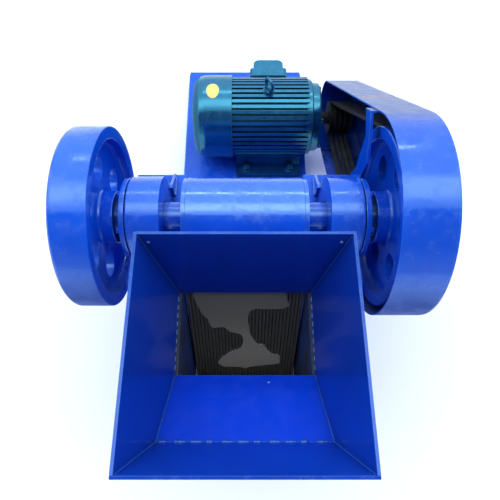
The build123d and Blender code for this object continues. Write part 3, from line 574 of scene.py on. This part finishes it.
def wheel(node, s, hub_out, phase, grooves):
    pts = [(250, 27), (250, 52), (281, 52), (281, 152), (256, 152), (256, 176)]
    rad = [1, 3, 8, 10, 3, 2.5]
    if grooves:
        for c in (267.5, 282.5, 297.5, 312.5):
            pts += [(c - 6.65, 176), (c - 2.6, 164), (c + 2.6, 164), (c + 6.65, 176)]
            rad += [0.5, 0.8, 0.8, 0.5]
        pts += [(324, 176), (324, 152)]
        rad += [2.5, 3]
    else:
        pts += [(324, 176), (324, 152)]
        rad += [10, 4]
    pts += [(299, 152), (299, 52), (hub_out, 52), (hub_out, 27)]
    rad += [10, 8, 3, 1]
    prof = [(s * x / 1000, r / 1000) for x, r in rounded(pts, rad)]
    o = raw(node + "_fine", *lathe(prof, SY, SZ, 160), "wheel")
    cut = []
    for k in range(6):
        t = math.radians(phase + 60 * k)
        c = P(s * 270 if s > 0 else -310, 102 * math.cos(t), 102 * math.sin(t))
        cut.append(ring_stack(c, (1, 0, 0), [(0, 0.027), (0.040, 0.027)], 48))
    drill(o, cut)
    finish_piece(o, "crank", 36.0, 0.0022, 3, (node,))
    return o


wheel("flywheel", -1, 316, 45, False)
pulley = wheel("drive_pulley", 1, 312, 10, True)
pulley.data.materials.append(M["rough"])
for poly in pulley.data.polygons:
    if math.hypot(poly.center.y - SY, poly.center.z - SZ) < 0.148:
        poly.material_index = 1

# bolts on the bearing covers, heads outward
parts = []
for s_ in (-1, 1):
    for deg in (17, 77, 137, 197, 317):
        t = math.radians(deg)
        parts.append(bolt(P(s_ * 232.8, 68 * math.cos(t), 68 * math.sin(t)), (s_, 0, 0), 0.0105, deg, washer=False))
make("cover_bolts", *joined(parts), "cast", "frame", "frame_paint", 30.0, 0.0004)

# fan cowl: pressed shell with a wire grille and a dark inside
cowl = [(-38, 119.5), (-38, 122.5), (-119, 122.5), (-134, 118.7), (-146, 109.5), (-152.6, 97.5), (-154.6, 86), (-151.5, 84), (-149, 96), (-142.5, 106), (-132, 115), (-118, 119.5)]
outline = rounded(cowl, [0.5, 0.8, 24, 16, 14, 10, 1, 1, 10, 14, 16, 20], 3)
make("cowl_shell", *lathe([(x / 1000, r / 1000) for x, r in outline], MY, MZ, 128), "motor", "frame", "motor_paint", 40.0, replaces=("motor_fan_cowl",))
parts = []
for r in (16, 28, 40, 52, 64, 76):
    wire = [(-0.1528 + 0.0014 * math.cos(a * math.pi / 4), r / 1000 + 0.0014 * math.sin(a * math.pi / 4)) for a in range(8)]
    parts.append(lathe(wire, MY, MZ, 72))
for k in range(8):
    t = 2 * math.pi * k / 8
    d = Vector((0, math.cos(t), math.sin(t)))
    parts.append(ring_stack(Vector((-0.1514, MY, MZ)) + d * 0.013, d, [(0, 0.0016), (0.074, 0.0016)], 8))
parts.append(ring_stack((-0.1540, MY, MZ), (1, 0, 0), [(0, 0.012), (0.003, 0.014)], 32))
make("cowl_grille", *joined(parts), "motor", "frame", "motor_paint", 40.0)
make("cowl_inside", *ring_stack((-0.141, MY, MZ), (1, 0, 0), [(0, 0.096), (0.101, 0.117)], 64), "black", "frame", "motor_paint", 40.0)

# plain oval sticker with no print, laid on the cowl
verts, faces = [], []
for i in range(6):
    for k in range(40):
        a, q = 2 * math.pi * k / 40, i / 5
        x, w = -0.0930 + 0.0184 * q * math.cos(a), 0.0260 * q * math.sin(a)
        th = math.radians(91.0) + w / 0.1229
        verts.append((x, MY + 0.1229 * math.cos(th), MZ + 0.1229 * math.sin(th)))
for i in range(5):
    for k in range(40):
        k2 = (k + 1) % 40
        faces.append((i * 40 + k, i * 40 + k2, (i + 1) * 40 + k2, (i + 1) * 40 + k))
make("cowl_disc", verts, faces, "sticker", "frame", "motor_paint", 60.0)

# motor feet bolts, end-shield bolts, terminal-box screws
parts = []
for x in (5, 145):
    for y in (-112, 112):
        parts.append(bolt(Vector((x / 1000, MY + y / 1000, SZ - 0.453)), (0, 0, 1), 0.018, 0.3 * x, True, 0.008))
make("motor_foot_bolts", *joined(parts), "motor", "frame", "motor_paint", 30.0, 0.0005)
parts = []
for deg in (45, 135, 225, 315):
    t = math.radians(deg)
    parts.append(bolt(Vector((0.2238, MY + 0.084 * math.cos(t), MZ + 0.084 * math.sin(t))), (1, 0, 0), 0.012, deg, False))
for deg in (60, 180, 300):
    t = math.radians(deg)
    parts.append(bolt(Vector((0.2238, MY + 0.060 * math.cos(t), MZ + 0.060 * math.sin(t))), (1, 0, 0), 0.008, deg, False))
make("shield_bolts", *joined(parts), "motor", "frame", "motor_paint", 30.0, 0.0004)
parts = []
for x in (50, 97):
    for z in (-376, -304):
        parts.append(ring_stack(P(x, 701.7, z), (0, 1, 0), [(0, 0.0045), (0.002, 0.0045), (0.003, 0.0032)], 16))
for x in (50, 97):
    parts.append(ring_stack(P(x, 649, -391.8), (0, 0, -1), [(0, 0.012), (0.008, 0.012), (0.008, 0.010), (0.018, 0.010), (0.020, 0.008)], 12))
make("box_screws", *joined(parts), "zinc", "frame", "bright_steel", 30.0, 0.0003)

# where stone has packed and rubbed the ribs smooth: (across, down the slope), mm
RUBBED = [(-103, 84), (80, 84), (83, 120), (93, 142), (78, 150), (50, 152), (22, 150), (9, 160), (6, 184), (11, 237), (22, 264),
          (29, 277), (42, 275), (50, 296), (63, 315), (80, 318), (82, 353), (11, 367), (2, 375), (-10, 368), (-51, 366),
          (-65, 350), (-53, 326), (-35, 306), (-9, 289), (-3, 262), (-8, 238), (-33, 228), (-45, 212), (-72, 215), (-78, 184),
          (-88, 172), (-103, 112)]
RUBBED = rounded(RUBBED, [7.0] * len(RUBBED), 4)
lean = math.radians(24.7)
out_, down_ = Vector((0, -math.cos(lean), math.sin(lean))), Vector((0, -math.sin(lean), -math.cos(lean)))
verts = [P(x, 0, 0) + out_ * (h / 1000) + down_ * (q / 1000) for h in (108.5, 111.85) for x, q in RUBBED]
k = len(RUBBED)
faces = [tuple(range(k)), tuple(range(k, 2 * k))] + [(i, (i + 1) % k, k + (i + 1) % k, k + i) for i in range(k)]
make("rubbed_patch", verts, faces, "rubbed", "swing_jaw", "jaw_steel", 30.0)

# tension spring as a coil
verts, faces, ring, turns, steps = [], [], 10, 6.0, 240
for k in range(steps + 1):
    q = k / steps
    a = 2 * math.pi * turns * q
    ease = min(1, max(0, (q - 0.10) / 0.80))
    y = 131 + 4 + (65 - 8) * ease
    c = P(17 * math.cos(a), y, -440 + 17 * math.sin(a))
    out = Vector((math.cos(a), 0, math.sin(a)))
    for m in range(ring):
        b = 2 * math.pi * m / ring
        verts.append(c + out * (0.0038 * math.cos(b)) + Vector((0, 1, 0)) * (0.0038 * math.sin(b)))
for k in range(steps):
    for m in range(ring):
        m2 = (m + 1) % ring
        faces.append((k * ring + m, k * ring + m2, (k + 1) * ring + m2, (k + 1) * ring + m))
faces += [tuple(range(ring)), tuple(steps * ring + m for m in range(ring))]
make("tension_coil", verts, faces, "black", "frame", "spring_steel", 50.0, replaces=("tension_spring",))

# hopper seams: inner corners, floor fold, lower edges
def hw(z):
    return 124.5 + 0.1935 * (z + 42)


parts, stitch = [], []
for s_ in (-1, 1):
    parts.append(bead([P(s_ * (hw(172) - 0.3), -117.0, 172), P(s_ * (hw(-24) - 0.3), -148.4, -24)], 0.0009, seed=3 + s_))
    parts.append(bead([P(s_ * (hw(172) - 0.3), -447.5, 172), P(s_ * (hw(44) - 0.3), -413.2, 44)], 0.0009, seed=6 + s_))
    parts.append(bead([P(s_ * (hw(41) - 0.3), -411.6, 41.5), P(s_ * (hw(-28) - 0.3), -304.5, -27.6)], 0.0009, seed=9 + s_))
    # short stitches along the sides' lower edges
    for k in range(9):
        y0 = -157 - 16.0 * k
        stitch.append(bead([P(s_ * (hw(-27) + 0.3), y0, -26.4 - 0.0195 * (-149 - y0)), P(s_ * (hw(-27) + 0.3), y0 - 9.5, -26.6 - 0.0195 * (-149 - y0))], 0.0016, pitch=0.004, seed=12 + s_ + 3 * k))
# the fold's seam, laid in short uneven lengths
for k in range(11):
    x0 = -hw(42) + 4 + k * (2 * hw(42) - 8) / 11
    parts.append(bead([P(x0, -412.4, 42.4), P(x0 + (19 if k % 3 else 13), -412.4, 42.2)], 0.0021 + 0.0005 * (k % 2), pitch=0.006, wobble=0.9, seed=221 + k))
make("hopper_welds", *joined(parts), "hopper", "frame", "hopper_paint", 60.0)
make("throat_welds", *joined(stitch), "seam", "frame", "hopper_paint", 60.0)
parts = [ring_stack(P(s_ * 153, -119.6 - 0.4, 154), (0, -1, 0.16), [(0, 0.0030), (0.0012, 0.0025), (0.0017, 0.0010)], 14) for s_ in (-1, 1)]
parts.append(ring_stack(P(42, -316, -20.7), (0, 0.54, 0.84), [(0, 0.0026), (0.0010, 0.0020), (0.0014, 0.0008)], 10))
make("hopper_specks", *joined(parts), "seam", "frame", "hopper_paint", 60.0)

# frame seams: ledges on walls, gussets, ribs, feet on rails, platform on rails
parts = []
for s_ in (-1, 1):
    parts.append(bead([P(s_ * 162.5, -118, -78.5), P(s_ * 162.5, 134, -78.5)], 0.0045, seed=30 + s_))
    parts.append(bead([P(s_ * 152.6, 82, -61.6), P(s_ * 152.6, 132, -61.6)], 0.0028, seed=33 + s_))
    parts.append(bead([P(s_ * 162.5, -356, -463.5), P(s_ * 162.5, 134, -463.5)], 0.005, seed=36 + s_))
    parts.append(bead([P(s_ * 199, 155, -475.5), P(s_ * 199, 815, -475.5)], 0.003, seed=39 + s_))
    parts.append(bead([P(s_ * 200.2, -356, -475.5), P(s_ * 200.2, 134, -475.5)], 0.003, seed=42 + s_))
    for y in (-88, 96):
        for e_ in (-7.3, 7.3):
            parts.append(bead([P(s_ * 162.4, y + e_, -82), P(s_ * 162.4, y + e_, -460)], 0.0035, seed=int(250 + y + e_ + s_)))
    parts.append(bead([P(s_ * 141.5, -358.4, -22), P(s_ * 141.5, -358.4, -460)], 0.004, seed=60 + s_))
    parts.append(bead([P(s_ * 141.5, 131.5, -210), P(s_ * 141.5, 131.5, -460)], 0.004, seed=63 + s_))
for x in (-92, 0, 92):
    for e_ in (-7.3, 7.3):
        parts.append(bead([P(x + e_, -358.3, -70), P(x + e_, -358.3, -458)], 0.0035, seed=int(470 + x / 10 + e_)))
parts.append(bead([P(237.5, 84, -61.6), P(237.5, 136, -61.6)], 0.003, seed=81))
make("frame_welds", *joined(parts), "frame", "frame", "frame_paint", 60.0)

# ledge bolts of the housings
parts = []
for s_ in (-1, 1):
    for x in (178, 214):
        for y in (-100, 104):
            parts.append(bolt(P(s_ * x, y, -62), (0, 0, 1), 0.019, 0.2 * x, True, 0.008))
make("housing_bolts", *joined(parts), "frame", "frame", "frame_paint", 30.0, 0.0006)

# ------------------------------------------------------------------ stage, light, camera
def stage_floor():
    me = bpy.data.meshes.new("floor")
    s = 14.0
    me.from_pydata([(-s, -s, 0), (s, -s, 0), (s, s, 0), (-s, s, 0)], [], [(0, 1, 2, 3)])
    o = bpy.data.objects.new("floor", me)
    bpy.context.scene.collection.objects.link(o)
    t = Tree("floor_paper")
    pale = t.mix(t.ramp(t.noise(2.0, 3), 0.3, 0.7), rgb(0.95, 0.95, 0.955), rgb(0.97, 0.97, 0.975))
    me.materials.append(t.done(pale, 0.8, spec=0.1))


stage_floor()

world = bpy.data.worlds.new("sky")
bpy.context.scene.world = world
world.use_nodes = True
wt = world.node_tree
wt.nodes.clear()
wo = wt.nodes.new("ShaderNodeOutputWorld")
bg = wt.nodes.new("ShaderNodeBackground")
tc = wt.nodes.new("ShaderNodeTexCoord")
sp = wt.nodes.new("ShaderNodeSeparateXYZ")
wt.links.new(tc.outputs["Generated"], sp.inputs[0])


def w_math(op, x, y):
    n = wt.nodes.new("ShaderNodeMath")
    n.operation = op
    for i, v in enumerate((x, y)):
        if hasattr(v, "is_output"):
            wt.links.new(v, n.inputs[i])
        else:
            n.inputs[i].default_value = v
    return n.outputs[0]


def w_step(v, lo, hi):
    n = wt.nodes.new("ShaderNodeMapRange")
    n.interpolation_type = "SMOOTHSTEP"
    n.inputs["From Min"].default_value, n.inputs["From Max"].default_value = lo, hi
    wt.links.new(v, n.inputs["Value"])
    return n.outputs[0]


def w_mix(f, x, y):
    n = wt.nodes.new("ShaderNodeMix")
    n.data_type = "RGBA"
    wt.links.new(f, n.inputs["Factor"])
    for k, v in (("A", x), ("B", y)):
        if hasattr(v, "is_output"):
            wt.links.new(v, n.inputs[k])
        else:
            n.inputs[k].default_value = (*v, 1)
    return n.outputs["Result"]


# open sky behind and overhead, a dark canopy from just in front of the zenith forward
side = w_math("ADD", w_math("MULTIPLY", sp.outputs["Y"], 0.942), w_math("MULTIPLY", sp.outputs["Z"], 0.342))
sky = w_mix(w_step(sp.outputs["Z"], 0.05, 0.9), (0.86, 1.08, 1.28), (1.30, 1.54, 1.70))
strip = w_math("MULTIPLY", w_step(w_math("ABSOLUTE", w_math("SUBTRACT", sp.outputs["Y"], 0.03), 0.0), 0.26, 0.10), w_step(sp.outputs["Z"], 0.40, 0.80))
sky = w_mix(strip, sky, (3.4, 3.6, 3.8))
sky = w_mix(w_step(w_math("ABSOLUTE", sp.outputs["X"], 0.0), 0.90, 0.55), (0.42, 0.52, 0.62), sky)
front = w_mix(w_step(sp.outputs["Z"], 0.02, 0.5), (0.55, 0.58, 0.64), (0.16, 0.18, 0.22))
dome = w_mix(w_step(side, -0.015, 0.02), front, sky)
ground = w_mix(w_step(sp.outputs["Z"], -0.02, 0.0), (0.5, 0.5, 0.52), dome)
wt.links.new(ground, bg.inputs[0])
bg.inputs[1].default_value = 1.0
wt.links.new(bg.outputs[0], wo.inputs[0])


def area(name, loc, target, size, power, color=(1, 1, 1)):
    d = bpy.data.lights.new(name, "AREA")
    d.shape, d.size, d.size_y, d.energy, d.color = "RECTANGLE", size[0], size[1], power, color
    o = bpy.data.objects.new(name, d)
    o.location = loc
    o.rotation_euler = (Vector(target) - Vector(loc)).to_track_quat("-Z", "Y").to_euler()
    bpy.context.scene.collection.objects.link(o)


area("top_soft", (0.0, 1.9, 2.6), (0, 0, 0.3), (2.6, 0.22), 9)
area("left_soft", (-2.6, 0.4, 1.9), (0, -0.1, 0.4), (1.6, 1.6), 10)
area("right_soft", (2.6, 0.2, 1.9), (0, -0.1, 0.4), (1.6, 1.6), 8)

cam_data = bpy.data.cameras.new("camera")
cam_data.lens, cam_data.sensor_width = 32.3, 36.0
cam_data.shift_x = 0.010
cam = bpy.data.objects.new("camera", cam_data)
cam.location = P(0, -397, 807)
cam.rotation_euler = (math.radians(22.0), 0, 0)
bpy.context.scene.collection.objects.link(cam)
bpy.context.scene.camera = cam
bpy.context.scene.view_settings.view_transform = "Standard"
